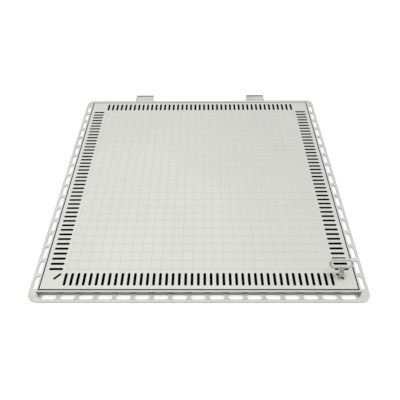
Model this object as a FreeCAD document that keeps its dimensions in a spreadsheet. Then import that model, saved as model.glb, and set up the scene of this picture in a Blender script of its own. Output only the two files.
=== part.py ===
import FreeCAD, Part

import math
import os

import Sketcher

# Slotted stainless access cover in a flanged frame, with its lifting key.
# Origin: centre of the cover on its top face, which is the finished floor level. +Y is the lug side.
# Everything hangs below z = 0 apart from the key, which stands in the right-hand front key slot.

vector = FreeCAD.Vector
rotation = FreeCAD.Rotation
doc = FreeCAD.newDocument("access_cover")

# ---------------------------------------------------------------- driving sizes, in millimetres
sheet = doc.addObject("Spreadsheet::Sheet", "sizes")

SIZES = [
    # frame
    ("rim_side", 904.0),            # outside of the frame walls
    ("wall_thick", 5.0),
    ("frame_depth", 18.0),          # rim top down to the underside of the ledge
    ("flange_wide", 25.0),
    ("flange_thick", 3.0),
    ("flange_drop", 12.0),          # rim top down to the top of the flange
    ("flange_corner_r", 28.0),
    ("flange_hole_wide", 15.0),
    ("flange_hole_long", 42.0),
    ("flange_hole_pitch", 52.0),
    ("flange_hole_end", 30.0),      # least from a wall's end to the middle of a hole
    ("flange_hole_margin", 2.0),    # wall face to the near side of a hole
    ("ledge_wide", 30.0),
    ("ledge_thick", 3.0),
    ("seal_wide", 15.0),
    ("seal_thick", 1.5),
    ("lug_wide", 74.0),
    ("lug_reach", 32.0),            # beyond the outer side of the flange
    ("lug_thick", 3.0),
    ("lug_lip_high", 3.0),
    ("lug_lip_thick", 3.0),
    ("lug_offset", 236.0),          # centre of a lug from the middle of the back wall
    # cover
    ("cover_gap", 3.5),             # clearance all round between cover and walls
    ("plate_thick", 3.0),
    ("slot_pitch", 18.0),
    ("slot_end", 62.0),             # least from the plate's edge to the first slot of the other row
    ("slot_wide", 8.0),
    ("slot_long", 41.0),
    ("slot_inset", 31.5),           # plate edge to the middle of a slot row
    ("edge_thick", 4.0),
    ("rib_thick", 5.0),
    ("rib_lap_gap", 0.1),           # clearance in a half-lap joint
    ("rib_count", 6),
    ("rib_key_gap", 1.0),           # least from a key plate to a rib
    ("screen_thick", 1.0),
    ("screen_wide", 56.0),
    ("screen_gap", 1.5),            # edge bar to screen, and screen to screen
    ("rivet_r", 1.25),
    ("rivet_grip", 3.0),            # how far a rivet goes into its rib
    ("rivet_head_r", 3.5),
    ("rivet_head_high", 0.8),
    # key slots and key
    ("key_inset", 40.8),            # plate edge to the middle of a key slot, both ways
    ("key_side_gap", 0.5),          # shank to the side of the key slot
    ("key_end_gap", 2.25),          # foot to the end of the key slot
    ("key_plate_side", 52.0),
    ("key_plate_thick", 3.0),
    ("stop_r", 2.0),
    ("stop_reach", 7.25),           # middle of the slot to a stop, along the turned foot
    ("stop_floor_gap", 1.5),        # stops to the screens below them
    ("foot_long", 22.0),
    ("foot_play", 0.5),             # key plate to foot
    ("foot_floor_gap", 0.5),        # foot to the screens below it
    ("shank_r", 3.0),
    ("shoulder_lap", 1.5),          # how far the shoulder covers the side of the key slot
    ("shoulder_play", 2.2),         # cover to shoulder, with the foot drawn up under the cover
    ("shoulder_top", 6.0),          # cover to the top of the shoulder
    ("tongue_thick", 5.0),
    ("pin_r", 2.5),
    ("pin_running_gap", 0.05),
    ("pin_proud", 0.6),
    ("eye_wall", 1.5),              # wall round the pin's hole in the tongue
    ("cheek_thick", 3.7),
    ("cheek_proud", 0.5),           # round end of the fork beyond the round end of the tongue
    ("cheek_play", 1.5),            # shoulder to the fork, and tongue to the bottom of the fork's throat
    ("fork_side_gap", 0.3),
    ("loop_reach", 20.0),           # pin to the near bar of the loop
    ("loop_bar_r", 4.0),
    ("loop_long", 70.0),            # outside length
    ("loop_high", 28.0),            # outside height
    ("loop_lean", 45.0),            # lean of the handle from upright, degrees
]

for row, (alias, value) in enumerate(SIZES, start=1):
    sheet.set("A%d" % row, alias)
    sheet.set("B%d" % row, str(value))
    sheet.setAlias("B%d" % row, alias)
doc.recompute()


def size(name):
    """A driving size read back from the sheet."""
    return float(sheet.get(name))


# Derived places, written as formulas of the sheet so that every feature can bind to them.
RIM = "sizes.rim_side / 2"
WALL_IN = "(sizes.rim_side / 2 - sizes.wall_thick)"
COVER = "(sizes.rim_side / 2 - sizes.wall_thick - sizes.cover_gap)"
EDGE_IN = "(%s - sizes.edge_thick)" % COVER
FLANGE_OUT = "(sizes.rim_side / 2 + sizes.flange_wide)"
HOLE_MID = "(sizes.rim_side / 2 + sizes.flange_hole_margin + sizes.flange_hole_wide / 2)"
LEDGE_TOP = "(sizes.ledge_thick - sizes.frame_depth)"
COVER_BOTTOM = "(%s + sizes.seal_thick)" % LEDGE_TOP
RIB_BOTTOM = "(%s + sizes.screen_thick)" % COVER_BOTTOM
RIB_HIGH = "(-sizes.plate_thick - %s)" % RIB_BOTTOM
SLOT_ROW = "(%s - sizes.slot_inset)" % COVER
KEY_MID = "(%s - sizes.key_inset)" % COVER
FOOT_TOP = "(-sizes.plate_thick - sizes.key_plate_thick - sizes.foot_play)"
SCREEN_OUT = "(%s - sizes.screen_gap)" % EDGE_IN
RIVET_ROW = "(%s - sizes.screen_wide / 2)" % SCREEN_OUT
# a row of slots or holes takes as many as its side has room for, with one in the middle
SLOT_COUNT = "(2 * floor((%s - sizes.slot_end) / sizes.slot_pitch) + 1)" % COVER
HOLE_COUNT = "(2 * floor((%s - sizes.flange_hole_end) / sizes.flange_hole_pitch) + 1)" % RIM
# ribs stand between slots, so they are an odd number of slot pitches apart, and they clear the key plates
RIB_ROOM = "(%s - sizes.key_plate_side - sizes.rib_key_gap - sizes.rib_thick / 2)" % SCREEN_OUT
RIB_HALVES = "(sizes.slot_pitch * (sizes.rib_count - 1) / 2)"
RIB_STEPS = "(2 * floor((%s / %s - 1) / 2) + 1)" % (RIB_ROOM, RIB_HALVES)
RIB_SPAN = "(2 * %s * %s)" % (RIB_HALVES, RIB_STEPS)
KEY_SLOT_WIDE = "(2 * sizes.shank_r + 2 * sizes.key_side_gap)"
KEY_SLOT_LONG = "(sizes.foot_long + 2 * sizes.key_end_gap)"
FOOT_WIDE = "(2 * sizes.shank_r)"
FOOT_HIGH = "(%s - %s - sizes.foot_floor_gap)" % (FOOT_TOP, RIB_BOTTOM)
STOP_HIGH = "(-sizes.plate_thick - sizes.key_plate_thick - %s - sizes.stop_floor_gap)" % RIB_BOTTOM
SHOULDER_R = "(%s / 2 + sizes.shoulder_lap)" % KEY_SLOT_WIDE
TONGUE_R = "(sizes.pin_r + sizes.eye_wall)"
FORK_R = "(%s + sizes.cheek_proud)" % TONGUE_R
FORK_WIDE = "(sizes.tongue_thick + 2 * sizes.fork_side_gap + 2 * sizes.cheek_thick)"
FORK_THROAT = "(%s + sizes.cheek_play)" % TONGUE_R
PIVOT_HIGH = "(sizes.shoulder_top + sizes.cheek_play + %s)" % FORK_R
SIDES = [("front", 0), ("right", 90), ("back", 180), ("left", 270)]


# ---------------------------------------------------------------- helpers
def newBody(label):
    """An empty body that carries the sub-part's name."""
    body = doc.addObject("PartDesign::Body", label)
    body.Label = label
    return body


def originPlane(body, role):
    """One of the body's own origin planes."""
    for feature in body.Origin.OriginFeatures:
        if feature.Role == role:
            return feature
    raise ValueError("no origin plane " + role)


def newSketch(body, name, role="XY_Plane", offset=None):
    """A sketch on one of the body's origin planes, raised by a formula of the sheet."""
    sketch = body.newObject("Sketcher::SketchObject", body.Label + "_" + name)
    sketch.AttachmentSupport = [(originPlane(body, role), "")]
    sketch.MapMode = "FlatFace"
    if offset is not None:
        sketch.setExpression(".AttachmentOffset.Base.z", offset)
    return sketch


def pin(sketch, geo, point, x, y):
    """Fixes a point of the sketch at two formulas of the sheet."""
    for kind, formula in (("DistanceX", x), ("DistanceY", y)):
        value = sketch.evalExpression(formula)
        value = float(getattr(value, "Value", value))
        index = sketch.addConstraint(Sketcher.Constraint(kind, -1, 1, geo, point, value))
        sketch.setExpression("Constraints[%d]" % index, formula)


def place(sketch, formulas):
    """The point that a pair of formulas gives."""
    numbers = [sketch.evalExpression(f) for f in formulas]
    return vector(*[float(getattr(n, "Value", n)) for n in numbers], 0)


def polygon(sketch, corners):
    """A closed outline through corners given as pairs of formulas."""
    points = [place(sketch, c) for c in corners]
    lines = []
    for i, start in enumerate(points):
        end = points[(i + 1) % len(points)]
        lines.append(sketch.addGeometry(Part.LineSegment(start, end), False))
    for i, line in enumerate(lines):
        following = lines[(i + 1) % len(lines)]
        sketch.addConstraint(Sketcher.Constraint("Coincident", line, 2, following, 1))
        pin(sketch, line, 1, *corners[i])
    return lines


def rectangle(sketch, x0, y0, x1, y1):
    """A rectangle between two corners given as formulas."""
    return polygon(sketch, [(x0, y0), (x1, y0), (x1, y1), (x0, y1)])


def circle(sketch, x, y, radius):
    """A circle at a place and with a radius given as formulas."""
    middle = place(sketch, (x, y))
    value = sketch.evalExpression(radius)
    value = float(getattr(value, "Value", value))
    geo = sketch.addGeometry(Part.Circle(middle, vector(0, 0, 1), value), False)
    pin(sketch, geo, 3, x, y)
    index = sketch.addConstraint(Sketcher.Constraint("Radius", geo, value))
    sketch.setExpression("Constraints[%d]" % index, radius)
    return geo


def roundSlot(sketch, x, y, length, width, direction=0):
    """A slot with round ends. Direction is the slot's turn in degrees: 0, 45, 90 or 135."""
    middle = place(sketch, (x, y))
    reach = "((%s - %s) / 2)" % (length, width)
    across = math.cos(math.radians(direction))
    along = math.sin(math.radians(direction))
    half = place(sketch, (reach, "0")).x
    r = place(sketch, ("%s / 2" % width, "0")).x
    u = vector(across, along, 0)
    v = vector(-along, across, 0)
    far, near = middle + u * half, middle - u * half
    turn = math.radians(direction)
    quarter = math.pi / 2
    axis = vector(0, 0, 1)
    a = sketch.addGeometry(Part.ArcOfCircle(Part.Circle(far, axis, r), turn - quarter, turn + quarter))
    b = sketch.addGeometry(Part.LineSegment(far + v * r, near + v * r))
    c = sketch.addGeometry(Part.ArcOfCircle(Part.Circle(near, axis, r), turn + quarter, turn + 3 * quarter))
    d = sketch.addGeometry(Part.LineSegment(near - v * r, far - v * r))
    for one, other in ((a, b), (b, c), (c, d), (d, a)):
        sketch.addConstraint(Sketcher.Constraint("Tangent", one, 2, other, 1))
    pin(sketch, a, 3, "%s + %s * %.9f" % (x, reach, across), "%s + %s * %.9f" % (y, reach, along))
    pin(sketch, c, 3, "%s - %s * %.9f" % (x, reach, across), "%s - %s * %.9f" % (y, reach, along))
    index = sketch.addConstraint(Sketcher.Constraint("Radius", a, r))
    sketch.setExpression("Constraints[%d]" % index, "%s / 2" % width)


def pad(body, sketch, height, name="pad", midplane=False):
    """Pads a sketch by a formula of the sheet."""
    feature = body.newObject("PartDesign::Pad", body.Label + "_" + name)
    feature.Profile = sketch
    feature.setExpression("Length", height)
    feature.Midplane = midplane
    body.Tip = feature
    return feature


def pocket(body, sketch, depth, name="pocket", reverse=False, midplane=False):
    """Cuts a sketch into the body and checks that it takes material away."""
    doc.recompute()
    before = body.Shape.Volume
    feature = body.newObject("PartDesign::Pocket", body.Label + "_" + name)
    feature.Profile = sketch
    feature.setExpression("Length", depth)
    feature.Reversed = reverse
    feature.Midplane = midplane
    body.Tip = feature
    doc.recompute()
    if body.Shape.Volume > before - 1e-3:
        raise ValueError(feature.Label + " cuts nothing")
    return feature


def rowOf(body, feature, role, length, count, name):
    """Repeats a feature along one of the body's axes."""
    pattern = body.newObject("PartDesign::LinearPattern", body.Label + "_" + name)
    pattern.Originals = [feature]
    pattern.Direction = (originPlane(body, role), [""])
    pattern.setExpression("Length", length)
    pattern.setExpression("Occurrences", count)
    body.Tip = pattern
    doc.recompute()
    return pattern


def turned(body, angle):
    """Turns a sub-part about the vertical axis through the origin."""
    body.Placement = FreeCAD.Placement(vector(0, 0, 0), rotation(vector(0, 0, 1), angle))
    return body


def mitredBar(label, angle, outer, inner, bottom, height):
    """One side of a square ring, with its ends cut at 45 degrees."""
    body = newBody(label)
    sketch = newSketch(body, "outline", offset=bottom)
    corners = [
        ("-(%s)" % outer, "-(%s)" % outer),
        (outer, "-(%s)" % outer),
        (inner, "-(%s)" % inner),
        ("-(%s)" % inner, "-(%s)" % inner),
    ]
    polygon(sketch, corners)
    pad(body, sketch, height)
    return turned(body, angle)


# ---------------------------------------------------------------- frame
def wall(side, angle):
    """A flat bar on edge. Its top edge is flush with the floor."""
    return mitredBar("wall_" + side, angle, RIM, WALL_IN, "-sizes.frame_depth", "sizes.frame_depth")


def ledge(side, angle):
    """The seat inside the wall's foot."""
    inner = "(%s - sizes.ledge_wide)" % WALL_IN
    return mitredBar("ledge_" + side, angle, WALL_IN, inner, "-sizes.frame_depth", "sizes.ledge_thick")


def seal(side, angle):
    """The rubber strip that the cover's edge bars stand on."""
    inner = "(%s - sizes.seal_wide)" % WALL_IN
    return mitredBar("seal_" + side, angle, WALL_IN, inner, LEDGE_TOP, "sizes.seal_thick")


def flange(side, angle):
    """A punched strip welded round the outside of a wall, with half of each rounded corner."""
    body = newBody("flange_" + side)
    sketch = newSketch(body, "outline", offset="-sizes.flange_drop - sizes.flange_thick")
    knee = "(%s - sizes.flange_corner_r)" % FLANGE_OUT
    mitre = "(%s + sizes.flange_corner_r / sqrt(2))" % knee
    inner_left, inner_right = ("-(%s)" % RIM, "-(%s)" % RIM), (RIM, "-(%s)" % RIM)
    mitre_right, mitre_left = (mitre, "-" + mitre), ("-" + mitre, "-" + mitre)
    low_right, low_left = (knee, "-" + FLANGE_OUT), ("-" + knee, "-" + FLANGE_OUT)
    runs = [(mitre_left, inner_left), (inner_left, inner_right), (inner_right, mitre_right), (low_right, low_left)]
    lines = []
    for start, end in runs:
        lines.append(sketch.addGeometry(Part.LineSegment(place(sketch, start), place(sketch, end))))
    r = size("flange_corner_r")
    axis = vector(0, 0, 1)
    centres = [(knee, "-" + knee), ("-" + knee, "-" + knee)]
    spans = [(-math.pi / 2, -math.pi / 4), (-3 * math.pi / 4, -math.pi / 2)]
    arcs = []
    for centre, (first, last) in zip(centres, spans):
        round_ = Part.Circle(place(sketch, centre), axis, r)
        arcs.append(sketch.addGeometry(Part.ArcOfCircle(round_, first, last)))
    joins = [(lines[0], 2, lines[1], 1), (lines[1], 2, lines[2], 1), (lines[2], 2, arcs[0], 2)]
    joins += [(arcs[0], 1, lines[3], 1), (lines[3], 2, arcs[1], 2), (arcs[1], 1, lines[0], 1)]
    for join in joins:
        sketch.addConstraint(Sketcher.Constraint("Coincident", *join))
    pin(sketch, lines[0], 2, *inner_left)
    pin(sketch, lines[1], 2, *inner_right)
    pin(sketch, lines[2], 2, *mitre_right)
    pin(sketch, lines[0], 1, *mitre_left)
    pin(sketch, lines[3], 1, *low_right)
    pin(sketch, lines[3], 2, *low_left)
    for arc, centre in zip(arcs, centres):
        index = sketch.addConstraint(Sketcher.Constraint("Radius", arc, r))
        sketch.setExpression("Constraints[%d]" % index, "sizes.flange_corner_r")
    pad(body, sketch, "sizes.flange_thick")
    holes = newSketch(body, "hole", offset="-sizes.flange_drop")
    span = "(sizes.flange_hole_pitch * (%s - 1))" % HOLE_COUNT
    roundSlot(holes, "-%s / 2" % span, "-" + HOLE_MID, "sizes.flange_hole_long", "sizes.flange_hole_wide")
    hole = pocket(body, holes, "sizes.flange_thick")
    rowOf(body, hole, "X_Axis", span, HOLE_COUNT, "row")
    return turned(body, angle)


def lug(side, sign):
    """A wide lug on the back flange, with a low lip turned up on its three free sides."""
    body = newBody("lug_" + side)
    middle = "(%d * sizes.lug_offset)" % sign
    left, right = "%s - sizes.lug_wide / 2" % middle, "%s + sizes.lug_wide / 2" % middle
    far = "%s + sizes.lug_reach" % FLANGE_OUT
    base = newSketch(body, "base", offset="-sizes.flange_drop")
    rectangle(base, left, RIM, right, far)
    pad(body, base, "sizes.lug_thick + sizes.lug_lip_high")
    tray = newSketch(body, "tray", offset="-sizes.flange_drop + sizes.lug_thick + sizes.lug_lip_high")
    lip = "sizes.lug_lip_thick"
    rectangle(tray, "%s + %s" % (left, lip), RIM, "%s - %s" % (right, lip), "%s - %s" % (far, lip))
    pocket(body, tray, "sizes.lug_lip_high")
    return body


# ---------------------------------------------------------------- cover
def coverPlate():
    """The flat top plate: a row of slots along each side and a diagonal key slot in the two front corners."""
    body = newBody("cover_plate")
    outline = newSketch(body, "outline", offset="-sizes.plate_thick")
    rectangle(outline, "-" + COVER, "-" + COVER, COVER, COVER)
    pad(body, outline, "sizes.plate_thick")
    span = "(sizes.slot_pitch * (%s - 1))" % SLOT_COUNT
    start = "-%s / 2" % span
    for name, role, turn in (("front_back", "X_Axis", 90), ("left_right", "Y_Axis", 0)):
        slots = newSketch(body, name + "_slot")
        for row in ("-" + SLOT_ROW, SLOT_ROW):
            x, y = (start, row) if turn else (row, start)
            roundSlot(slots, x, y, "sizes.slot_long", "sizes.slot_wide", turn)
        cut = pocket(body, slots, "sizes.plate_thick", name + "_cut")
        rowOf(body, cut, role, span, SLOT_COUNT, name + "_row")
    keys = newSketch(body, "key_slots")
    for sign, turn in ((1, 135), (-1, 45)):
        middle = KEY_MID if sign > 0 else "-" + KEY_MID
        roundSlot(keys, middle, "-" + KEY_MID, KEY_SLOT_LONG, KEY_SLOT_WIDE, turn)
    pocket(body, keys, "sizes.plate_thick", "key_cut")
    return body


def edgeBar(side, angle):
    """A flat bar on edge under the plate's rim. It stands on the seal."""
    height = "-sizes.plate_thick - %s" % COVER_BOTTOM
    return mitredBar("edge_" + side, angle, COVER, EDGE_IN, COVER_BOTTOM, height)


def ribPlace(number):
    """Distance of a rib from the middle, always halfway between two slots."""
    return "(sizes.slot_pitch * %s * (%d - (sizes.rib_count + 1) / 2))" % (RIB_STEPS, number)


def rib(direction, number):
    """A flat bar on edge between two edge bars, notched halfway where it crosses the others.
    Bars along X are notched from below, bars along Y from above."""
    body = newBody("rib_%s_%d" % (direction, number))
    along_x = direction == "x"
    outline = newSketch(body, "outline", offset=RIB_BOTTOM)
    low = "%s - sizes.rib_thick / 2" % ribPlace(number)
    high = "%s + sizes.rib_thick / 2" % ribPlace(number)
    if along_x:
        rectangle(outline, "-" + EDGE_IN, low, EDGE_IN, high)
    else:
        rectangle(outline, low, "-" + EDGE_IN, high, EDGE_IN)
    pad(body, outline, RIB_HIGH)
    notch_top = "%s + %s / 2 + sizes.rib_lap_gap" % (RIB_BOTTOM, RIB_HIGH)
    notch = newSketch(body, "notch", offset=notch_top if along_x else "-sizes.plate_thick")
    half = "(sizes.rib_thick / 2 + sizes.rib_lap_gap)"
    first, last = "%s - %s" % (ribPlace(1), half), "%s + %s" % (ribPlace(1), half)
    if along_x:
        rectangle(notch, first, low, last, high)
        cut = pocket(body, notch, "%s / 2 + sizes.rib_lap_gap" % RIB_HIGH)
    else:
        rectangle(notch, low, first, high, last)
        cut = pocket(body, notch, "%s / 2" % RIB_HIGH)
    rowOf(body, cut, "X_Axis" if along_x else "Y_Axis", RIB_SPAN, "sizes.rib_count", "row")
    holes = newSketch(body, "rivet_holes", offset="%s + sizes.rivet_grip" % RIB_BOTTOM)
    for end in ("-" + RIVET_ROW, RIVET_ROW):
        x, y = (end, ribPlace(number)) if along_x else (ribPlace(number), end)
        circle(holes, x, y, "sizes.rivet_r")
    pocket(body, holes, "sizes.rivet_grip", "rivet_cut")
    return body


def keyPlate(side, sign):
    """A doubler round a key slot. Two stops below it end the turn of the key's foot."""
    body = newBody("key_plate_" + side)
    x = KEY_MID if sign > 0 else "-" + KEY_MID
    y = "-" + KEY_MID
    # the doubler fills the corner between the edge bars and the slots, so it isn't centred on its slot
    outer = SCREEN_OUT
    inner = "(%s - sizes.key_plate_side)" % outer
    outline = newSketch(body, "outline", offset="-sizes.plate_thick - sizes.key_plate_thick")
    x0, x1 = (inner, outer) if sign > 0 else ("-" + outer, "-" + inner)
    rectangle(outline, x0, "-" + outer, x1, "-" + inner)
    pad(body, outline, "sizes.key_plate_thick")
    slot = newSketch(body, "slot", offset="-sizes.plate_thick")
    roundSlot(slot, x, y, KEY_SLOT_LONG, KEY_SLOT_WIDE, 135 if sign > 0 else 45)
    pocket(body, slot, "sizes.key_plate_thick")
    # each stop's side is in line with the slot's, on the side that the foot would turn past
    off = "(%s / 2 + sizes.stop_r)" % KEY_SLOT_WIDE
    stops = newSketch(body, "stops", offset="-sizes.plate_thick - sizes.key_plate_thick")
    for turn, side_of in ((45, 1), (-45, -1)):
        c, s = math.cos(math.radians(turn)), math.sin(math.radians(turn))
        dx = "(sizes.stop_reach * %.9f - %s * %.9f)" % (c, off, side_of * s)
        dy = "(sizes.stop_reach * %.9f + %s * %.9f)" % (s, off, side_of * c)
        circle(stops, "%s + %d * %s" % (x, sign, dx), "%s + %s" % (y, dy), "sizes.stop_r")
    feature = pad(body, stops, STOP_HIGH, "stop_pad")
    feature.Reversed = True
    return body


def screen(side, angle):
    """A strip of fine mesh, as one sheet, below a row of slots. The front and back strips run the full width."""
    body = newBody("screen_" + side)
    inner = "(%s - sizes.screen_wide)" % SCREEN_OUT
    across = SCREEN_OUT if angle % 180 == 0 else "(%s - sizes.screen_gap)" % inner
    outline = newSketch(body, "outline", offset=COVER_BOTTOM)
    rectangle(outline, "-" + across, "-" + SCREEN_OUT, across, "-" + inner)
    pad(body, outline, "sizes.screen_thick")
    hole = newSketch(body, "rivet_hole", offset=RIB_BOTTOM)
    circle(hole, ribPlace(1), "-" + RIVET_ROW, "sizes.rivet_r")
    cut = pocket(body, hole, "sizes.screen_thick", "rivet_cut")
    rowOf(body, cut, "X_Axis", RIB_SPAN, "sizes.rib_count", "rivet_row")
    return turned(body, angle)


def screenRivets():
    """All the rivets that hold the screens up against the ribs, one at each crossing."""
    body = newBody("screen_rivets")
    body.AllowCompound = True
    heads = newSketch(body, "heads", offset="%s - sizes.rivet_head_high" % COVER_BOTTOM)
    stems = newSketch(body, "stems", offset=COVER_BOTTOM)
    for sketch, radius in ((heads, "sizes.rivet_head_r"), (stems, "sizes.rivet_r")):
        for number in range(1, int(size("rib_count")) + 1):
            for row in ("-" + RIVET_ROW, RIVET_ROW):
                circle(sketch, ribPlace(number), row, radius)
                circle(sketch, row, ribPlace(number), radius)
    pad(body, heads, "sizes.rivet_head_high", "head_pad")
    pad(body, stems, "sizes.screen_thick + sizes.rivet_grip", "stem_pad")
    return body


# ---------------------------------------------------------------- key
# The key's pieces are drawn about the pivot's upright line. The handle's are drawn upright about the pin,
# which runs along X, and then lean back together.
def atSlot(body, height, lean=0.0):
    """Sets a key piece down at the right-hand key slot, at a height above the cover, leaning back."""
    body.Placement = FreeCAD.Placement(vector(0, 0, 0), rotation(vector(-1, 0, 0), lean))
    body.setExpression("Placement.Base.x", KEY_MID)
    body.setExpression("Placement.Base.y", "-" + KEY_MID)
    body.setExpression("Placement.Base.z", height)
    return body


def keyFoot():
    """The cross bar under the cover that carries the load when the key is turned across its slot."""
    body = newBody("key_foot")
    outline = newSketch(body, "outline", offset="%s - %s" % (FOOT_TOP, FOOT_HIGH))
    roundSlot(outline, "0", "0", "sizes.foot_long", FOOT_WIDE)
    pad(body, outline, FOOT_HIGH)
    return atSlot(body, "0")


def keyShank():
    """The round stem through the slot, a shoulder that stands on the cover, and a flat tongue for the pin."""
    body = newBody("key_shank")
    stem = newSketch(body, "stem", offset=FOOT_TOP)
    circle(stem, "0", "0", "sizes.shank_r")
    pad(body, stem, "sizes.shoulder_top - %s" % FOOT_TOP, "stem_pad")
    shoulder = newSketch(body, "shoulder", offset="sizes.shoulder_play")
    circle(shoulder, "0", "0", SHOULDER_R)
    pad(body, shoulder, "sizes.shoulder_top - sizes.shoulder_play", "shoulder_pad")
    tongue = newSketch(body, "tongue", "YZ_Plane")
    rectangle(tongue, "-" + TONGUE_R, "sizes.shoulder_play", TONGUE_R, PIVOT_HIGH)
    pad(body, tongue, "sizes.tongue_thick", "tongue_pad", midplane=True)
    crown = newSketch(body, "crown", "YZ_Plane")
    circle(crown, "0", PIVOT_HIGH, TONGUE_R)
    pad(body, crown, "sizes.tongue_thick", "crown_pad", midplane=True)
    hole = newSketch(body, "pin_hole", "YZ_Plane")
    circle(hole, "0", PIVOT_HIGH, "sizes.pin_r + sizes.pin_running_gap")
    pocket(body, hole, "sizes.tongue_thick", "pin_cut", midplane=True)
    return atSlot(body, "0")


def keyFork(lean):
    """The handle's neck: two cheeks round the tongue, and a saddle that the loop's near bar is welded into."""
    body = newBody("key_fork")
    neck = newSketch(body, "neck", "YZ_Plane")
    rectangle(neck, "-" + FORK_R, "0", FORK_R, "sizes.loop_reach - sizes.loop_bar_r / 2")
    pad(body, neck, FORK_WIDE, "neck_pad", midplane=True)
    eye = newSketch(body, "eye", "YZ_Plane")
    circle(eye, "0", "0", FORK_R)
    pad(body, eye, FORK_WIDE, "eye_pad", midplane=True)
    throat = newSketch(body, "throat", "XZ_Plane")
    half = "(sizes.tongue_thick / 2 + sizes.fork_side_gap)"
    rectangle(throat, "-" + half, "-2 * " + FORK_R, half, FORK_THROAT)
    pocket(body, throat, "4 * " + FORK_R, "throat_cut", midplane=True)
    hole = newSketch(body, "pin_hole", "YZ_Plane")
    circle(hole, "0", "0", "sizes.pin_r")
    pocket(body, hole, "2 * " + FORK_WIDE, "pin_cut", midplane=True)
    saddle = newSketch(body, "saddle", "YZ_Plane")
    circle(saddle, "0", "sizes.loop_reach", "sizes.loop_bar_r")
    pocket(body, saddle, "2 * " + FORK_WIDE, "saddle_cut", midplane=True)
    return atSlot(body, PIVOT_HIGH, lean)


def keyLoop(lean):
    """The finger loop: a round bar bent to a long ring with half-round ends."""
    body = newBody("key_loop")
    path = newSketch(body, "path", "XZ_Plane")
    length = "(sizes.loop_long - 2 * sizes.loop_bar_r)"
    height = "(sizes.loop_high - 2 * sizes.loop_bar_r)"
    roundSlot(path, "0", "sizes.loop_reach + %s / 2" % height, length, height)
    section = newSketch(body, "section", "YZ_Plane")
    circle(section, "0", "sizes.loop_reach", "sizes.loop_bar_r")
    doc.recompute()
    ring = body.newObject("PartDesign::AdditivePipe", "key_loop_ring")
    ring.Profile = section
    ring.Spine = (path, [])
    body.Tip = ring
    return atSlot(body, PIVOT_HIGH, lean)


def keyPin(lean):
    """The cross pin, fixed in the fork and free in the tongue."""
    body = newBody("key_pin")
    outline = newSketch(body, "outline", "YZ_Plane")
    circle(outline, "0", "0", "sizes.pin_r")
    pad(body, outline, FORK_WIDE + " + 2 * sizes.pin_proud", midplane=True)
    return atSlot(body, PIVOT_HIGH, lean)


# ---------------------------------------------------------------- build
for side, angle in SIDES:
    wall(side, angle)
    flange(side, angle)
    ledge(side, angle)
    seal(side, angle)
    edgeBar(side, angle)
    screen(side, angle)
lug("left", -1)
lug("right", 1)
coverPlate()
keyPlate("left", -1)
keyPlate("right", 1)
ribs = int(size("rib_count"))
for number in range(1, ribs + 1):
    rib("x", number)
    rib("y", number)
screenRivets()
keyFoot()
keyShank()
for handlePiece in (keyFork, keyLoop, keyPin):
    handlePiece(size("loop_lean"))
doc.recompute()


# ---------------------------------------------------------------- write
def failed(thing):
    """True for an object that did not compute."""
    return any(word in ("Invalid", "Error") for word in thing.State)


os.makedirs("parts", exist_ok=True)
broken = [thing.Name for thing in doc.Objects if failed(thing)]
if broken:
    raise ValueError("failed objects: " + ", ".join(broken))
parts = [thing for thing in doc.Objects if thing.TypeId == "PartDesign::Body"]
for part in parts:
    if part.Shape.isNull() or not part.Shape.isValid():
        raise ValueError(part.Label + " has no valid shape")
for part in parts:
    part.Shape.exportStep(os.path.join("parts", part.Label + ".step"))
print("wrote", len(parts), "sub-parts")
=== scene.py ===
import bpy
import math
from mathutils import Matrix, Vector


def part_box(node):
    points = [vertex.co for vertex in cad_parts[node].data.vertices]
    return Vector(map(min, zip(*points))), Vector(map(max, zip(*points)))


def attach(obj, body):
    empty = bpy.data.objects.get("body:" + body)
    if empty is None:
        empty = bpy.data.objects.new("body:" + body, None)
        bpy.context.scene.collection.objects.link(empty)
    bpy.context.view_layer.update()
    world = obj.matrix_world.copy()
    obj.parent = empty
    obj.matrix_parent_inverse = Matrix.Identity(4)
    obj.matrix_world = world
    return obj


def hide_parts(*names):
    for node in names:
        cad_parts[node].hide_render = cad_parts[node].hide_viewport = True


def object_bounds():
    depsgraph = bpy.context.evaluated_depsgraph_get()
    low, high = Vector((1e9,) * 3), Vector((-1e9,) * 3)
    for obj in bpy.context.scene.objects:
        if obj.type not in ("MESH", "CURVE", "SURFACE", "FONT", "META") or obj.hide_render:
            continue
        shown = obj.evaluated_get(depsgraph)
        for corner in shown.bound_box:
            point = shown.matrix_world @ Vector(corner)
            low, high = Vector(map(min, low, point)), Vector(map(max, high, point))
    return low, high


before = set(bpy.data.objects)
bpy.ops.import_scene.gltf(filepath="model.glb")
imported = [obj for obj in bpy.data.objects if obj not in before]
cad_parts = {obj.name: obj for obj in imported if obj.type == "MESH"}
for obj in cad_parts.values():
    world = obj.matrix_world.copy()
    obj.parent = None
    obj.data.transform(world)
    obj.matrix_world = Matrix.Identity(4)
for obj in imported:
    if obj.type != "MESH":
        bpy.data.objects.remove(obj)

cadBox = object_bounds()
boxLow = cadBox[0]
print("frame loaded")


# camera: it looks down at the cover from the key side
viewer = {
    "elevation": 47.77,
    "yaw": 0.699,
    "roll": -0.625,
    "distance": 1.3823,
    "target": (0.0033, -0.1092, 0.0),
    "lens": 37.475,
}


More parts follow.
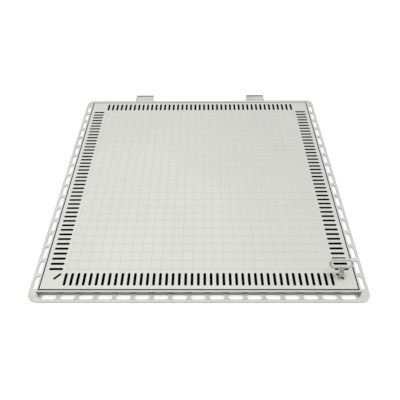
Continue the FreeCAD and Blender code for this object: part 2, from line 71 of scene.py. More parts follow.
def setCamera():
    up, turn = math.radians(viewer["elevation"]), math.radians(viewer["yaw"])
    back = Vector((math.sin(turn) * math.cos(up), -math.cos(turn) * math.cos(up), math.sin(up)))
    right = Vector((math.cos(turn), math.sin(turn), 0))
    rolled = Matrix.Rotation(math.radians(viewer["roll"]), 3, back)
    axes = Matrix((right, back.cross(right), back)).transposed()
    place = (rolled @ axes).to_4x4()
    place.translation = Vector(viewer["target"]) + back * viewer["distance"]
    bpy.ops.object.camera_add()
    camera = bpy.context.active_object
    camera.name = "camera"
    camera.matrix_world = place
    camera.data.lens = viewer["lens"]
    camera.data.sensor_width = 36
    camera.data.clip_start = 0.02
    camera.data.dof.use_dof = False
    bpy.context.scene.camera = camera


# picking and shaping
def clearPick():
    if bpy.context.mode != "OBJECT":
        bpy.ops.object.mode_set(mode="OBJECT")
    bpy.ops.object.select_all(action="DESELECT")


def pick(*pieces):
    clearPick()
    for piece in pieces:
        piece.select_set(True)
    bpy.context.view_layer.objects.active = pieces[0]


def settle(name):  # names the piece just added and puts its place into its mesh
    piece = bpy.context.active_object
    piece.name = name
    piece.data.name = name
    bpy.ops.object.transform_apply(location=True, rotation=True, scale=True)
    return piece


def applied(piece, kind, **choices):
    pick(piece)
    change = piece.modifiers.new(kind.lower(), kind)
    for name, value in choices.items():
        setattr(change, name, value)
    bpy.ops.object.modifier_apply(modifier=change.name)


def smoothed(piece, angle):
    pick(piece)
    bpy.ops.object.shade_smooth_by_angle(angle=math.radians(angle))


def rounded(piece, width, steps=2, angle=50, smooth=40):
    applied(piece, "BEVEL", width=width, segments=steps, limit_method="ANGLE",
            angle_limit=math.radians(angle))
    smoothed(piece, smooth)


def cutAway(piece, tool):
    applied(piece, "BOOLEAN", operation="DIFFERENCE", object=tool, solver="EXACT", use_self=True)
    bpy.data.objects.remove(tool)


def joined(name, pieces):
    pick(*pieces)
    if len(pieces) > 1:
        bpy.ops.object.join()
    return settle(name)


def placed(piece, spot):  # carries a piece from the origin to its place and turn
    piece.matrix_world = spot
    pick(piece)
    bpy.ops.object.transform_apply(location=True, rotation=True, scale=True)
    return piece


def copied(piece, name, move=(0, 0, 0), turn=0):  # a copy with its own mesh, turned about Z, then moved
    pick(piece)
    bpy.ops.object.duplicate(linked=False)
    twin = bpy.context.active_object
    twin.matrix_world = Matrix.Translation(move) @ Matrix.Rotation(math.radians(turn), 4, "Z")
    return settle(name)


def choose(piece, parts, kind, test):  # selects the parts that pass the test and stays in edit mode
    clearPick()
    for group in (piece.data.vertices, piece.data.edges, piece.data.polygons):
        group.foreach_set("select", [False] * len(group))
    for part in parts:
        part.select = test(part)
    pick(piece)
    bpy.ops.object.mode_set(mode="EDIT")
    bpy.ops.mesh.select_mode(type=kind)


def chooseFaces(piece, test):
    choose(piece, piece.data.polygons, "FACE", test)


def chooseVertices(piece, test):
    choose(piece, piece.data.vertices, "VERT", lambda vertex: test(vertex.co))


def mended(piece):  # doubles merged, flat triangles joined, faces outwards
    pick(piece)
    bpy.ops.object.mode_set(mode="EDIT")
    bpy.ops.mesh.select_mode(type="VERT")
    bpy.ops.mesh.select_all(action="SELECT")
    bpy.ops.mesh.remove_doubles(threshold=0.00001)
    bpy.ops.mesh.dissolve_limited(angle_limit=math.radians(0.5))
    bpy.ops.mesh.normals_make_consistent(inside=False)
    bpy.ops.object.mode_set(mode="OBJECT")


def fromNode(node, name):  # a merged copy of a CAD node to work on
    piece = bpy.data.objects.new(name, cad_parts[node].data.copy())
    piece.data.name = name
    bpy.context.scene.collection.objects.link(piece)
    piece.data.materials.clear()
    mended(piece)
    return piece


def finished(piece, finish, body, slotName, *nodes):
    piece.data.materials.clear()
    piece.data.materials.append(finish)
    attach(piece, body)
    if nodes:
        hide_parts(*nodes)


# finishes
def newFinish(name):
    finish = bpy.data.materials.new(name)
    finish.use_nodes = True
    return finish


def addNode(finish, kind, sockets=None, **choices):
    made = finish.node_tree.nodes.new("ShaderNode" + kind)
    for name, value in choices.items():
        setattr(made, name, value)
    for name, value in (sockets or {}).items():
        if isinstance(value, bpy.types.NodeSocket):
            finish.node_tree.links.new(value, made.inputs[name])
        else:
            made.inputs[name].default_value = value
    return made


def grainNoise(finish, stretch, scale, detail, roughness=0.6):  # noise on Object coordinates, stretched
    place = addNode(finish, "TexCoord").outputs["Object"]
    moved = addNode(finish, "Mapping", {"Vector": place, "Scale": stretch}).outputs["Vector"]
    sockets = {"Vector": moved, "Scale": scale, "Detail": detail, "Roughness": roughness}
    return addNode(finish, "TexNoise", sockets).outputs["Fac"]


def ramp(finish, value, stops):
    made = addNode(finish, "ValToRGB", {"Fac": value})
    band = made.color_ramp
    while len(band.elements) < len(stops):
        band.elements.new(0.5)
    for element, (place, colour) in zip(band.elements, stops):
        element.position = place
        element.color = (*colour, 1)
    return made.outputs["Color"]


def spread(finish, value, fromLow, fromHigh, toLow, toHigh):
    sockets = {"Value": value, "From Min": fromLow, "From Max": fromHigh, "To Min": toLow, "To Max": toHigh}
    return addNode(finish, "MapRange", sockets).outputs["Result"]


def blended(finish, amount, first, second, mode="MIX"):
    made = addNode(finish, "Mix", data_type="RGBA", blend_type=mode)
    for place, value in ((0, amount), (6, first), (7, second)):
        if isinstance(value, bpy.types.NodeSocket):
            finish.node_tree.links.new(value, made.inputs[place])
        elif place == 0:
            made.inputs[place].default_value = value
        else:
            made.inputs[place].default_value = (*value, 1)
    return made.outputs[2]


def steel(name, tone, stretch, look):  # a metal with brushing along one way, soft clouds and small marks
    finish = newFinish(name)
    shader = finish.node_tree.nodes["Principled BSDF"]
    shader.inputs["Metallic"].default_value = 1.0
    brush = grainNoise(finish, stretch, look["brushScale"], 4.0)
    cloud = grainNoise(finish, (1, 1, 1), look["cloudScale"], 2.0)
    marks = grainNoise(finish, (1, 1, 1), look["markScale"], 6.0, 0.7)
    base = ramp(finish, cloud, [(0.3, [c * (1 - look["cloud"]) for c in tone]), (0.7, tone)])
    streak = ramp(finish, brush, [(0.3, [1 - look["brush"]] * 3), (0.7, (1, 1, 1))])
    spot = ramp(finish, marks, [(0.28, [1 - look["marks"]] * 3), (0.42, (1, 1, 1))])
    colour = blended(finish, 1.0, blended(finish, 1.0, base, streak, "MULTIPLY"), spot, "MULTIPLY")
    smoothest, roughest = look["rough"] - look["roughPlay"], look["rough"] + look["roughPlay"]
    rough = spread(finish, brush, 0.3, 0.7, smoothest, roughest)
    bump = addNode(finish, "Bump", {"Height": brush, "Strength": look["bump"], "Distance": 0.0002})
    finish.node_tree.links.new(colour, shader.inputs["Base Color"])
    finish.node_tree.links.new(rough, shader.inputs["Roughness"])
    finish.node_tree.links.new(bump.outputs["Normal"], shader.inputs["Normal"])
    return finish


satinLook = {
    "brushScale": 90, "brush": 0.05, "cloudScale": 5, "cloud": 0.03, "markScale": 60, "marks": 0.05,
    "rough": 0.38, "roughPlay": 0.07, "bump": 0.12,
}
millLook = dict(satinLook, brush=0.10, cloud=0.16, marks=0.14, rough=0.52, roughPlay=0.08)
polishLook = dict(satinLook, brush=0.06, cloud=0.10, cloudScale=60, rough=0.16, roughPlay=0.06, bump=0.05)


def shaded(finish, amount, colour):  # lays a second tone over a finish's own colour
    shader = finish.node_tree.nodes["Principled BSDF"]
    under = shader.inputs["Base Color"].links[0].from_socket
    finish.node_tree.links.new(blended(finish, amount, under, colour), shader.inputs["Base Color"])


def ownPlace(finish):  # the three object coordinates
    place = addNode(finish, "TexCoord").outputs["Object"]
    return addNode(finish, "SeparateXYZ", {"Vector": place}).outputs


def worked(finish, operation, first, second=0.0):
    made = addNode(finish, "Math", operation=operation)
    for socket, value in zip(made.inputs, (first, second)):
        if isinstance(value, bpy.types.NodeSocket):
            finish.node_tree.links.new(value, socket)
        else:
            socket.default_value = value
    return made.outputs["Value"]


coverSteel = steel("coverSteel", (0.72, 0.725, 0.685), (16, 1, 1), satinLook)
flangeSteel = steel("flangeSteel", (0.71, 0.715, 0.69), (14, 1, 1), dict(satinLook, cloud=0.08, marks=0.08))
# painted shade: the wall and ledge steel gets a darker tone than the other steel, standing for the shade on
# the wall's sides
wallShadedSteel = steel("wallShadedSteel", (0.45, 0.45, 0.43), (1, 1, 12), millLook)
ribSteel = steel("ribSteel", (0.50, 0.50, 0.48), (1, 1, 12), millLook)
keySteel = steel("keySteel", (0.80, 0.80, 0.76), (1, 1, 1), polishLook)
lugSteel = steel("lugSteel", (0.60, 0.60, 0.575), (1, 14, 1), dict(satinLook, cloud=0.08, marks=0.08))
weldSteel = steel("weldSteel", (0.46, 0.44, 0.40), (1, 1, 1), dict(millLook, markScale=400, rough=0.36))

# engraved squares: their pitch, their offset along X, and the darker tone laid along the grooves
engraving = {
    "pitch": 0.03028, "shift": -0.0019, "grooveToneHalf": 0.0007, "grooveToneCore": 0.4, "grooveToneAmount": 0.12,
    "grooveToneColour": (0.16, 0.155, 0.145), "reach": 0.3792, "lowest": -0.0005,
}


def within(finish, value, limit):  # one where the value lies no further than the limit from zero
    return worked(finish, "LESS_THAN", worked(finish, "ABSOLUTE", value), limit)


def engraveTone(finish):  # a darker tone laid along the grooves of the plate
    place = ownPlace(finish)
    half, pitch = engraving["grooveToneHalf"], engraving["pitch"]
    lines, fields = [], []
    for axis, shift in (("X", engraving["shift"]), ("Y", 0.0)):
        moved = worked(finish, "SUBTRACT", place[axis], shift)
        near = worked(finish, "PINGPONG", worked(finish, "ADD", moved, pitch / 2), pitch / 2)
        lines.append(spread(finish, near, half * engraving["grooveToneCore"], half, 1.0, 0.0))
        fields.append(within(finish, moved, engraving["reach"]))
    amount = worked(finish, "MAXIMUM", *lines)
    top = worked(finish, "GREATER_THAN", place["Z"], engraving["lowest"])
    for factor in (*fields, top, engraving["grooveToneAmount"]):
        amount = worked(finish, "MULTIPLY", amount, factor)
    shaded(finish, amount, engraving["grooveToneColour"])


def paintedSideShade(finish, top, bottom, colour, reach=1.0):  # painted shade: cut sides between two heights, out to a distance, are darkened to stand for the shade on them
    place = ownPlace(finish)
    below = spread(finish, place["Z"], top - 0.0002, top, 1.0, 0.0)
    above = spread(finish, place["Z"], bottom, bottom + 0.0001, 0.0, 1.0)
    amount = worked(finish, "MULTIPLY", below, above)
    for axis in ("X", "Y"):
        amount = worked(finish, "MULTIPLY", amount, within(finish, place[axis], reach))
    shaded(finish, amount, colour)


engraveTone(coverSteel)
# painted shade on the cut sides of the cover plate and its slots, of the flanges and of the lugs
paintedSideShade(coverSteel, -0.0002, -0.0030, (0.10, 0.10, 0.095), 0.44)
paintedSideShade(flangeSteel, -0.0122, -0.0150, (0.17, 0.165, 0.155))
paintedSideShade(lugSteel, -0.0062, -0.0089, (0.32, 0.315, 0.30))


def paintedLitTop(finish):  # painted highlight: the wall's top edge is painted bright, as lit from above, over the wall's darker tone
    top = spread(finish, ownPlace(finish)["Z"], -0.0006, -0.0002, 0.0, 1.0)
    shaded(finish, top, (0.74, 0.745, 0.71))


paintedLitTop(wallShadedSteel)


def dusty(name, scale, detail, stops):  # a plain finish whose colour follows one soft noise
    finish = newFinish(name)
    shader = finish.node_tree.nodes["Principled BSDF"]
    dust = grainNoise(finish, (1, 1, 1), scale, detail)
    finish.node_tree.links.new(ramp(finish, dust, stops), shader.inputs["Base Color"])
    return finish, shader, dust


def rubberFinish():
    stops = [(0.35, (0.012, 0.012, 0.012)), (0.75, (0.05, 0.048, 0.044))]
    finish, shader, dust = dusty("sealRubber", 70, 5.0, stops)
    bump = addNode(finish, "Bump", {"Height": dust, "Strength": 0.3, "Distance": 0.0002})
    finish.node_tree.links.new(spread(finish, dust, 0.3, 0.7, 0.62, 0.85), shader.inputs["Roughness"])
    finish.node_tree.links.new(bump.outputs["Normal"], shader.inputs["Normal"])
    return finish


def screenFinish():
    # painted shade: a near-black finish that stands for the shade inside the slots
    stops = [(0.4, (0.003, 0.003, 0.003)), (0.8, (0.012, 0.011, 0.010))]
    finish, shader, dust = dusty("screenShadeBlack", 120, 4.0, stops)
    finish.node_tree.links.new(spread(finish, dust, 0.3, 0.7, 0.75, 0.95), shader.inputs["Roughness"])
    shader.inputs["Specular IOR Level"].default_value = 0.1
    return finish


sealRubber = rubberFinish()
screenShadeBlack = screenFinish()
print("finishes made")

for node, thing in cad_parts.items():
    thing.data.materials.clear()
    if node.startswith("seal"):
        thing.data.materials.append(sealRubber)
    elif node.startswith("screen_"):
        thing.data.materials.append(screenShadeBlack)
    elif node.startswith(("rib", "edge", "key_plate")):
        thing.data.materials.append(ribSteel)
    elif node.startswith("key_"):
        thing.data.materials.append(keySteel)
    elif node.startswith(("wall", "ledge")):
        thing.data.materials.append(wallShadedSteel)
    elif node.startswith("cover"):
        thing.data.materials.append(coverSteel)
    else:
        thing.data.materials.append(flangeSteel)


# cover plate: a field of engraved squares, a row of slots along each side, a key slot in two corners
plate = {
    "tiles": 25, "groove": 0.0006, "grooveDeep": 0.00025, "slotWide": 0.008, "slotLong": 0.041,
    "slotPitch": 0.018, "slotCount": 43, "slotInset": 0.0315, "keySlotWide": 0.007, "keySlotLong": 0.0265,
    "keyInset": 0.0408, "edgeRound": 0.00025, "edgeAngle": 60, "flatBelow": 16, "roundSteps": 24,
    "punchTall": 0.006, "punchMiddle": -0.0015,
}


def engravedBlank(name):
    plateLow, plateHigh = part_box("cover_plate")
    field = plate["tiles"] * engraving["pitch"]
    clearPick()
    bpy.ops.mesh.primitive_grid_add(x_subdivisions=plate["tiles"], y_subdivisions=plate["tiles"],
                                    size=field, location=(engraving["shift"], 0, -plate["grooveDeep"]))
    blank = settle(name)
    bpy.ops.object.mode_set(mode="EDIT")
    bpy.ops.mesh.select_mode(type="FACE")
    bpy.ops.mesh.select_all(action="SELECT")
    bpy.ops.mesh.inset(thickness=plate["groove"], use_individual=True)
    bpy.ops.transform.translate(value=(0, 0, plate["grooveDeep"]))  # squares up, grooves stay down
    bpy.ops.mesh.select_mode(type="EDGE")
    bpy.ops.mesh.select_all(action="DESELECT")
    bpy.ops.mesh.select_non_manifold(extend=False, use_boundary=True, use_wire=False,
                                     use_multi_face=False, use_non_contiguous=False, use_verts=False)
    grown = (field + 2 * plate["groove"]) / field
    bpy.ops.mesh.extrude_region_move(TRANSFORM_OT_translate={"value": (0, 0, plate["grooveDeep"])})
    bpy.ops.transform.resize(value=(grown, grown, 1), center_override=(engraving["shift"], 0, 0))
    rim = field * grown
    wider = (plateHigh.x - plateLow.x) / rim
    centre = (plateHigh.x - wider * (engraving["shift"] + rim / 2)) / (1 - wider)
    bpy.ops.mesh.extrude_region_move(TRANSFORM_OT_translate={"value": (0, 0, 0)})
    bpy.ops.transform.resize(value=(wider, wider, 1), center_override=(centre, 0, 0))
    bpy.ops.mesh.extrude_region_move(TRANSFORM_OT_translate={"value": (0, 0, plateLow.z - plateHigh.z)})
    bpy.ops.mesh.edge_face_add()
    bpy.ops.mesh.select_all(action="SELECT")
    bpy.ops.mesh.normals_make_consistent(inside=False)
    bpy.ops.object.mode_set(mode="OBJECT")
    return blank


def slotPunch(name, long, wide):  # round-ended punch along X, a little taller than the plate
    halfStep = math.pi / plate["roundSteps"]
    clearPick()
    bpy.ops.mesh.primitive_cylinder_add(vertices=plate["roundSteps"], radius=wide / 2 / math.cos(halfStep),
                                        depth=plate["punchTall"], location=(0, 0, plate["punchMiddle"]),
                                        rotation=(0, 0, halfStep))
    punch = settle(name)
    for way in (1, -1):
        chooseVertices(punch, lambda place: place.x * way > 0)
        bpy.ops.transform.translate(value=(way * (long - wide) / 2, 0, 0))
        bpy.ops.object.mode_set(mode="OBJECT")
    return punch


def makeCoverPlate():
    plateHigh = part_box("cover_plate")[1]
    piece = engravedBlank("cover_plate_steel")
    row = slotPunch("slotRow", plate["slotLong"], plate["slotWide"])
    applied(row, "ARRAY", count=plate["slotCount"], use_relative_offset=False, use_constant_offset=True,
            constant_offset_displace=(0, plate["slotPitch"], 0))
    start = (plateHigh.x - plate["slotInset"], -plate["slotPitch"] * (plate["slotCount"] - 1) / 2, 0)
    placed(row, Matrix.Translation(start))
    punches = [row] + [copied(row, "slotRow%d" % turn, turn=turn) for turn in (90, 180, 270)]
    keyPunch = slotPunch("keyPunch", plate["keySlotLong"], plate["keySlotWide"])
    away = plateHigh.x - plate["keyInset"]
    punches.append(copied(keyPunch, "keyPunchRight", (away, -away, 0), 135))
    punches.append(copied(keyPunch, "keyPunchLeft", (-away, -away, 0), 45))
    bpy.data.objects.remove(keyPunch)
    cutAway(piece, joined("punches", punches))
    mended(piece)
    rounded(piece, plate["edgeRound"], 1, plate["edgeAngle"], plate["flatBelow"])  # keeps each square flat
    finished(piece, coverSteel, "cover", "cover_steel", "cover_plate")
    print("cover plate faces", len(piece.data.polygons))


makeCoverPlate()
print("cover plate made")


# frame: walls, flanges, ledges and lugs, each from its steel section with its edges eased; the seals follow
# below
frameLook = {"edge": 0.0004, "flangeEdge": 0.0003, "sides": ("front", "right", "back", "left")}


def easedCopy(node, name, edge, finish, body, slotName, angle=50):
    piece = fromNode(node, name)
    rounded(piece, edge, 2, angle)
    finished(piece, finish, body, slotName, node)
    return piece


for side in frameLook["sides"]:
    easedCopy("wall_" + side, "wall_bar_" + side, frameLook["edge"], wallShadedSteel, "frame", "frame_steel")
    easedCopy("ledge_" + side, "ledge_bar_" + side, frameLook["edge"], wallShadedSteel, "frame", "frame_steel")
    easedCopy("flange_" + side, "flange_strip_" + side, frameLook["flangeEdge"], flangeSteel, "frame",
              "frame_steel")
for side in ("left", "right"):
    easedCopy("lug_" + side, "lug_tray_" + side, frameLook["edge"], lugSteel, "frame", "frame_steel")
print("frame made")


# seal: a flat rubber strip with two grooves pressed into its top
seal = {"land": 0.0022, "groove": 0.0008, "deep": 0.0005, "between": 0.0016, "smooth": 30}


def makeSeal(side):
    node = "seal_" + side
    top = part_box(node)[1].z
    piece = fromNode(node, "seal_strip_" + side)
    chooseFaces(piece, lambda face: face.normal.z > 0.9 and abs(face.center.z - top) < 0.0001)
    for start in (seal["land"], seal["between"]):
        bpy.ops.mesh.inset(thickness=start)
        bpy.ops.mesh.inset(thickness=seal["groove"] / 4, depth=-seal["deep"])
        bpy.ops.mesh.inset(thickness=seal["groove"])
        bpy.ops.mesh.inset(thickness=seal["groove"] / 4, depth=seal["deep"])
    bpy.ops.object.mode_set(mode="OBJECT")
    smoothed(piece, seal["smooth"])
    finished(piece, sealRubber, "frame", "seal_rubber", node)


for side in frameLook["sides"]:
    makeSeal(side)
print("seals made")


# screens: black sheet pressed into small cups below each row of slots, with a plain border; its near-black
# tone is painted shade for the dark space below the slots
screen = {"cell": 0.005, "border": 0.0006, "wall": 0.0006, "deep": 0.0005, "sheet": 0.0005}


def makeScreen(side):
    node = "screen_" + side
    near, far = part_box(node)
    wide, deep = far.x - near.x, far.y - near.y
    midX, midY = (near.x + far.x) / 2, (near.y + far.y) / 2
    clearPick()
    bpy.ops.mesh.primitive_grid_add(x_subdivisions=round(wide / screen["cell"]), size=1,
                                    y_subdivisions=round(deep / screen["cell"]),
                                    location=(midX, midY, far.z))
    bpy.context.active_object.scale = (wide, deep, 1)
    piece = settle("screen_sheet_" + side)
    inX, inY = wide / 2 - screen["cell"], deep / 2 - screen["cell"]
    chooseFaces(piece, lambda face: abs(face.center.x - midX) < inX and abs(face.center.y - midY) < inY)
    bpy.ops.mesh.inset(thickness=screen["border"], use_individual=True)
    bpy.ops.mesh.inset(thickness=screen["wall"], depth=-screen["deep"], use_individual=True)
    bpy.ops.object.mode_set(mode="OBJECT")
    applied(piece, "SOLIDIFY", thickness=screen["sheet"], offset=-1)
    finished(piece, screenShadeBlack, "cover", "screen_mesh", node)


for side in frameLook["sides"]:
    makeScreen(side)
print("screens made")


# rivets: a low domed head below the screen and a stem up into the rib
rivet = {
    "headRadius": 0.0035, "stemRadius": 0.00125, "steps": 16, "rowInset": 0.0335, "smooth": 40,
    "ribs": (-0.315, -0.189, -0.063, 0.063, 0.189, 0.315),
    "dome": ((0.00015, 1.0), (0.0003, 0.9), (0.0002, 0.72), (0.0001, 0.5)),  # drop and narrowing of each ring
}


def makeRivets():
    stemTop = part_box("screen_rivets")[1].z
    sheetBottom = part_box("screen_front")[0].z
    clearPick()
    bpy.ops.mesh.primitive_circle_add(vertices=rivet["steps"], radius=rivet["headRadius"], fill_type="NGON",
                                      location=(0, 0, sheetBottom))
    pattern = settle("rivetPattern")
    bpy.ops.object.mode_set(mode="EDIT")
    bpy.ops.mesh.select_mode(type="FACE")
    bpy.ops.mesh.select_all(action="SELECT")
    for drop, narrowing in rivet["dome"]:
        bpy.ops.mesh.extrude_region_move(TRANSFORM_OT_translate={"value": (0, 0, -drop)})
        bpy.ops.transform.resize(value=(narrowing, narrowing, 1), center_override=(0, 0, 0))
    bpy.ops.object.mode_set(mode="OBJECT")
    chooseFaces(pattern, lambda face: abs(face.center.z - sheetBottom) < 0.00001 and len(face.vertices) > 8)
    bpy.ops.mesh.inset(thickness=rivet["headRadius"] - rivet["stemRadius"])
    bpy.ops.mesh.extrude_region_move(TRANSFORM_OT_translate={"value": (0, 0, stemTop - sheetBottom)})
    bpy.ops.object.mode_set(mode="OBJECT")
    mended(pattern)
    smoothed(pattern, rivet["smooth"])
    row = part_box("cover_plate")[1].x - rivet["rowInset"]
    rivets = []
    for along in rivet["ribs"]:
        for spot in ((along, row), (along, -row), (row, along), (-row, along)):
            rivets.append(copied(pattern, "rivet%d" % len(rivets), (*spot, 0)))
    bpy.data.objects.remove(pattern)
    finished(joined("screen_rivet_set", rivets), ribSteel, "cover", "rivet_steel", "screen_rivets")


makeRivets()
print("rivets made")


# ribs, edge bars and the doublers at the key slots
ribs = {"count": 6, "edge": 0.0002, "doublerEdge": 0.0003}

for side in frameLook["sides"]:
    easedCopy("edge_" + side, "edge_bar_" + side, frameLook["edge"], ribSteel, "cover", "rib_steel")
for number in range(1, ribs["count"] + 1):
    for way in ("x", "y"):
        mark = "%s_%d" % (way, number)
        easedCopy("rib_" + mark, "rib_bar_" + mark, ribs["edge"], ribSteel, "cover", "rib_steel")
for side in ("left", "right"):
    easedCopy("key_plate_" + side, "key_doubler_" + side, ribs["doublerEdge"], ribSteel, "cover", "rib_steel")
print("ribs made")


# welds: rows of overlapping drops, modelled once as a drop and repeated
weld = {
    "step": 0.0013, "dropLong": 0.75, "dropFlat": 0.6, "tailFrom": 0.3, "tailThin": 0.8, "smooth": 60,
    "stitchDrops": 14, "stitchRadius": 0.0013, "stitchPitch": 0.126, "stitchSides": 3,
    "seamDrops": 50, "seamRadius": 0.0009, "seamDown": 0.0028, "off": 0.0002,
    "tackDrops": 5, "tackRadius": 0.0011, "tackBeside": 0.0027, "tackDown": 0.0048, "sink": 0.0003,
    "crossings": (-0.252, -0.126, 0.0, 0.126, 0.252),
}


def dropRow(name, count, radius, flat=weld["dropFlat"]):  # a stitch along X, centred on the origin
    clearPick()
    bpy.ops.mesh.primitive_uv_sphere_add(segments=10, ring_count=6, radius=radius,
                                         rotation=(0, math.pi / 2, 0))
    row = settle(name)
    bpy.ops.object.mode_set(mode="EDIT")
    bpy.ops.mesh.select_all(action="SELECT")
    bpy.ops.transform.resize(value=(weld["dropLong"], 1, flat), center_override=(0, 0, 0))
    bpy.ops.object.mode_set(mode="OBJECT")
    chooseVertices(row, lambda place: place.x > radius * weld["tailFrom"])
    bpy.ops.transform.resize(value=(1, weld["tailThin"], weld["tailThin"]), center_override=(0, 0, 0))
    bpy.ops.object.mode_set(mode="OBJECT")
    applied(row, "ARRAY", count=count, use_relative_offset=False, use_constant_offset=True,
            constant_offset_displace=(weld["step"], 0, 0))
    placed(row, Matrix.Translation((-weld["step"] * (count - 1) / 2, 0, 0)))
    smoothed(row, weld["smooth"])
    return row


def turned(spot, turn):
    return Matrix.Rotation(math.radians(turn), 4, "Z") @ Vector(spot)


def makeFrameWelds():
    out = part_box("wall_right")[1].x + weld["off"]
    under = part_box("flange_front")[0].z - weld["sink"]
    stitch = dropRow("stitch", weld["stitchDrops"], weld["stitchRadius"])
    stitches = []
    for turn in (0, 90, 180, 270):
        for number in range(-weld["stitchSides"], weld["stitchSides"] + 1):
            spot = turned((number * weld["stitchPitch"], -out, under), turn)
            stitches.append(copied(stitch, "stitch%d_%d" % (turn, number), spot, turn))
    lugLow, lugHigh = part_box("lug_left")
    seam = dropRow("seam", weld["seamDrops"], weld["seamRadius"])
    for way in (-1, 1):
        middle = way * (lugLow.x + lugHigh.x) / -2
        stitches.append(copied(seam, "lugSeam%d" % way, (middle, out, lugHigh.z - weld["seamDown"])))
    for piece in (stitch, seam):
        bpy.data.objects.remove(piece)
    finished(joined("frame_welds", stitches), weldSteel, "frame", "frame_steel")


def makeCoverWelds():
    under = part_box("cover_plate")[0].z
    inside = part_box("edge_right")[0].x - weld["sink"]
    tack = dropRow("tack", weld["tackDrops"], weld["tackRadius"])
    upright = placed(copied(tack, "upright"), Matrix.Rotation(math.radians(90), 4, "Y"))
    tacks = []
    for turn in (0, 90, 180, 270):
        for along in rivet["ribs"]:
            for aside in (-weld["tackBeside"], weld["tackBeside"]):
                spot = turned((inside, along + aside, under - weld["tackDown"]), turn)
                tacks.append(copied(upright, "tack%d" % len(tacks), spot, turn))
    for along in rivet["ribs"]:
        for middle in weld["crossings"]:
            for aside in (-weld["tackBeside"], weld["tackBeside"]):
                beside, down = along + aside, under - weld["sink"]
                tacks.append(copied(tack, "tack%d" % len(tacks), (middle, beside, down)))
                tacks.append(copied(tack, "tack%d" % len(tacks), (beside, middle, down), 90))
    for piece in (tack, upright):
        bpy.data.objects.remove(piece)
    finished(joined("rib_welds", tacks), weldSteel, "cover", "rib_steel")


makeFrameWelds()
makeCoverWelds()
print("welds made")


# lifting key: a bent finger loop on a fork, a flat-tongued stem with a shoulder, a cross foot and a pin
key = {
    "barRadius": 0.004, "barSteps": 20, "straight": 0.042, "straightSteps": 6, "bend": 0.010,
    "bendSteps": 18, "nearBar": 0.020, "lean": -45, "edge": 0.0004, "stemEdge": 0.0003, "edgeAngle": 40,
    "pinRadius": 0.0025, "pinSteps": 28, "pinDome": 0.0006,
    "beadRadius": 0.0009, "beadFlat": 0.8, "beadEnds": 0.001, "beadAside": 0.0040, "beadDown": 0.0016,
}


def pivotPlace():  # upright about the pin, leaned back and set down at the key slot
    pinLow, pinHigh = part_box("key_pin")
    pivot = (pinLow + pinHigh) / 2
    return Matrix.Translation(pivot) @ Matrix.Rotation(math.radians(key["lean"]), 4, "X")


def makeKeyLoop():
    half, first = key["straight"] / 2, key["nearBar"]
    middle = first + key["bend"]
    clearPick()
    bpy.ops.mesh.primitive_circle_add(vertices=key["barSteps"], radius=key["barRadius"], fill_type="NOTHING",
                                      location=(-half, 0, first), rotation=(0, math.pi / 2, 0))
    loop = settle("key_finger_loop")
    bpy.ops.object.mode_set(mode="EDIT")
    bpy.ops.mesh.select_mode(type="VERT")
    bpy.ops.mesh.select_all(action="SELECT")
    for way in (1, -1):
        stretch = way * key["straight"] / key["straightSteps"]
        for count in range(key["straightSteps"]):
            bpy.ops.mesh.extrude_region_move(TRANSFORM_OT_translate={"value": (stretch, 0, 0)})
        bpy.ops.mesh.spin(steps=key["bendSteps"], angle=math.pi, center=(way * half, 0, middle),
                          axis=(0, 1, 0))
    bpy.ops.mesh.select_all(action="SELECT")
    bpy.ops.mesh.remove_doubles(threshold=0.00002)
    bpy.ops.mesh.normals_make_consistent(inside=False)
    bpy.ops.mesh.faces_shade_smooth()
    bpy.ops.object.mode_set(mode="OBJECT")
    placed(loop, pivotPlace())
    finished(loop, keySteel, "key_handle", "key_steel", "key_loop")


def makePin():
    pinLow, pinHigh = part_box("key_pin")
    clearPick()
    bpy.ops.mesh.primitive_cylinder_add(vertices=key["pinSteps"], radius=key["pinRadius"],
                                        depth=pinHigh.x - pinLow.x, location=(pinLow + pinHigh) / 2,
                                        rotation=(0, math.pi / 2, 0))
    pin = settle("key_cross_pin")
    rounded(pin, key["pinDome"], 4)
    finished(pin, keySteel, "key_handle", "key_steel", "key_pin")


def makeKeyWelds():
    forkLow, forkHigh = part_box("key_fork")
    drops = int((forkHigh.x - forkLow.x - key["beadEnds"]) / weld["step"])
    bead = dropRow("bead", drops, key["beadRadius"], key["beadFlat"])
    height = key["nearBar"] - key["beadDown"]
    beads = [copied(bead, "bead%d" % way, (0, way * key["beadAside"], height)) for way in (-1, 1)]
    bpy.data.objects.remove(bead)
    beads = joined("key_welds", beads)
    placed(beads, pivotPlace())
    finished(beads, weldSteel, "key_handle", "key_steel")


makeKeyLoop()
makePin()
makeKeyWelds()
easedCopy("key_fork", "key_neck", key["edge"], keySteel, "key_handle", "key_steel", key["edgeAngle"])
for node, name in (("key_shank", "key_stem_turned"), ("key_foot", "key_cross_foot")):
    easedCopy(node, name, key["stemEdge"], keySteel, "key_stem", "key_steel", key["edgeAngle"])
print("key made")


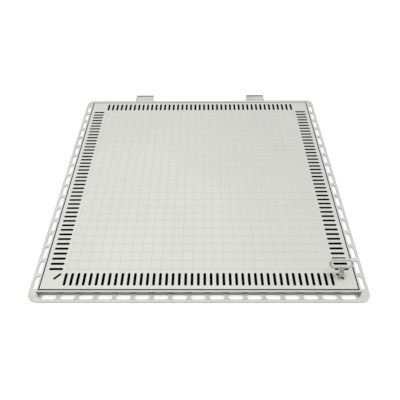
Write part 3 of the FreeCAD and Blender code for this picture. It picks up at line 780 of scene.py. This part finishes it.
# studio: a bright floor, and a sky that is brighter overhead and dim on the near side
studio = {
    "floorSide": 12.0, "floorDrop": 0.0002, "floorTone": (0.93, 0.93, 0.93), "floorGlow": 0.45,
    "sky": ((0.0, 0.45), (0.25, 0.76), (0.55, 0.95), (0.75, 1.0), (0.95, 1.06)),
    "frontDark": 0.40, "frontFrom": -0.75, "lampPlace": (-0.8, 1.6, 2.6), "lampSide": 2.5, "lampPower": 3.0,
}


def floorFinish():
    tone = studio["floorTone"]
    finish, shader, cloud = dusty("floorPaint", 3, 2.0, [(0.3, [c * 0.99 for c in tone]), (0.7, tone)])
    shader.inputs["Roughness"].default_value = 0.8
    shader.inputs["Emission Color"].default_value = (1, 1, 1, 1)
    shader.inputs["Emission Strength"].default_value = studio["floorGlow"]
    return finish


def setSky():
    world = bpy.data.worlds.new("studio")
    bpy.context.scene.world = world
    world.use_nodes = True
    place = addNode(world, "TexCoord").outputs["Generated"]
    parted = addNode(world, "SeparateXYZ", {"Vector": place}).outputs
    sky = ramp(world, parted["Z"], [(spot, [level] * 3) for spot, level in studio["sky"]])
    sockets = {"Value": parted["Y"], "From Min": studio["frontFrom"], "From Max": 0.0,
               "To Min": studio["frontDark"], "To Max": 1.0}
    strength = addNode(world, "MapRange", sockets, interpolation_type="SMOOTHSTEP").outputs["Result"]
    background = world.node_tree.nodes["Background"]
    world.node_tree.links.new(sky, background.inputs["Color"])
    world.node_tree.links.new(strength, background.inputs["Strength"])


def setStudio():
    clearPick()
    bpy.ops.mesh.primitive_plane_add(size=studio["floorSide"],
                                     location=(0, 0, boxLow.z - studio["floorDrop"]))
    floor = settle("floor")
    floor.data.materials.append(floorFinish())
    setSky()
    bpy.ops.object.light_add(type="AREA", location=studio["lampPlace"])
    lamp = bpy.context.active_object
    lamp.data.size = studio["lampSide"]
    lamp.data.energy = studio["lampPower"]
    lamp.rotation_euler = (-lamp.location).to_track_quat("-Z", "Y").to_euler()
    bpy.context.scene.view_settings.view_transform = "Standard"


setCamera()
setStudio()
print("studio set")
